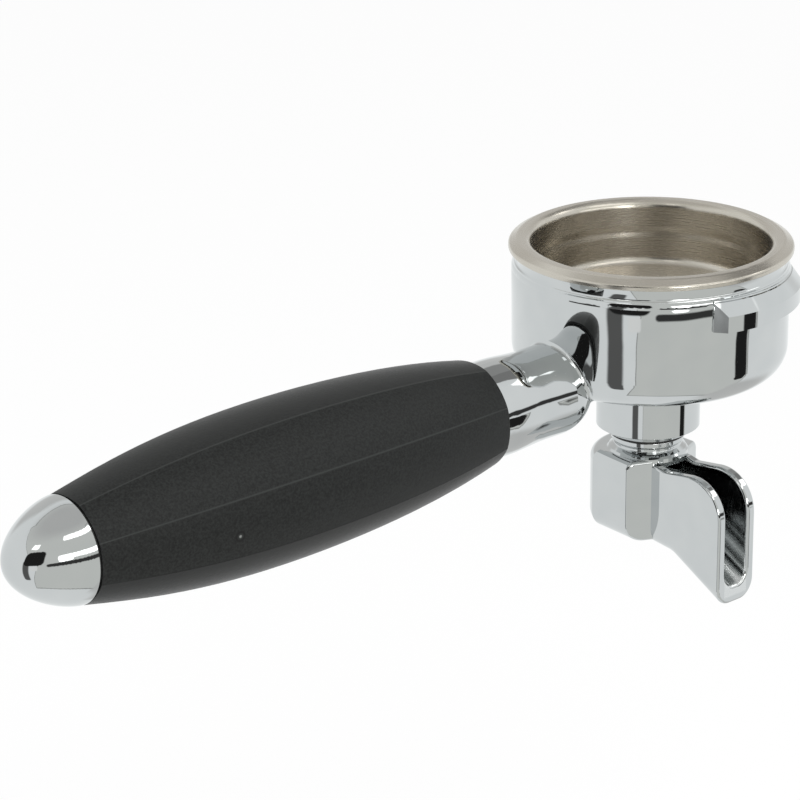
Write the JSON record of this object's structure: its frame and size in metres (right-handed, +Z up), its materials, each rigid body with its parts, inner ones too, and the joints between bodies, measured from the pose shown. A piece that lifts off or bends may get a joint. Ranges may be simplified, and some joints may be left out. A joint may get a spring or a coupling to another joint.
{
  "type": "portafilter",
  "caption": "Single-spout espresso portafilter: chromed filter holder with bayonet lugs, sprung one-cup basket, screw-on open spout and a bolted dark soft grip with a chrome end cap.",
  "frame": {"origin": "centre of the filter basket rim's top plane, on the bowl axis", "axes": "+Z up along the bowl axis, towards the group it locks into; the handle runs towards -X; the spout's nose points towards -Y"},
  "size_m": [0.2289, 0.0747, 0.0879],
  "materials": {
    "chromed_brass": "mirror-polished chromium plate over brass",
    "stainless_sheet": "satin stainless steel sheet",
    "spring_wire": "bright-drawn stainless spring wire",
    "soft_grip": "fine matt moulded thermoplastic elastomer",
    "rigid_core": "glass-filled nylon",
    "zinc_steel": "zinc-plated steel",
    "seal_rubber": "smooth black rubber"
  },
  "bodies": {
    "holder": {"holder_body": "chromed_brass", "basket_spring": "spring_wire", "grip": "soft_grip", "handle_core": "rigid_core", "handle_bolt": "zinc_steel", "bolt_washer": "zinc_steel", "spring_washer": "zinc_steel", "end_cap": "chromed_brass", "cap_gasket": "seal_rubber"},
    "basket": {"filter_basket": "stainless_sheet"},
    "seal": {"spout_washer": "seal_rubber"},
    "spout": {"spout": "chromed_brass"}
  },
  "joints": [
    {"name": "basket_lift", "type": "slide", "parent": "holder", "child": "basket", "axis": [0, 0, 1], "range_m": [0, 0.045]},
    {"name": "spout_drop", "type": "slide", "parent": "holder", "child": "seal", "axis": [0, 0, -1], "range_m": [0, 0.0107]},
    {"name": "spout_turn", "type": "hinge", "parent": "seal", "child": "spout", "pos_m": [0, 0, 0], "axis": [0, 0, -1], "range_deg": [0, 2990]}
  ],
  "couplings": [
    {"joint": "spout_turn", "follows": "spout_drop", "rad_per_m": 4699.2}
  ]
}
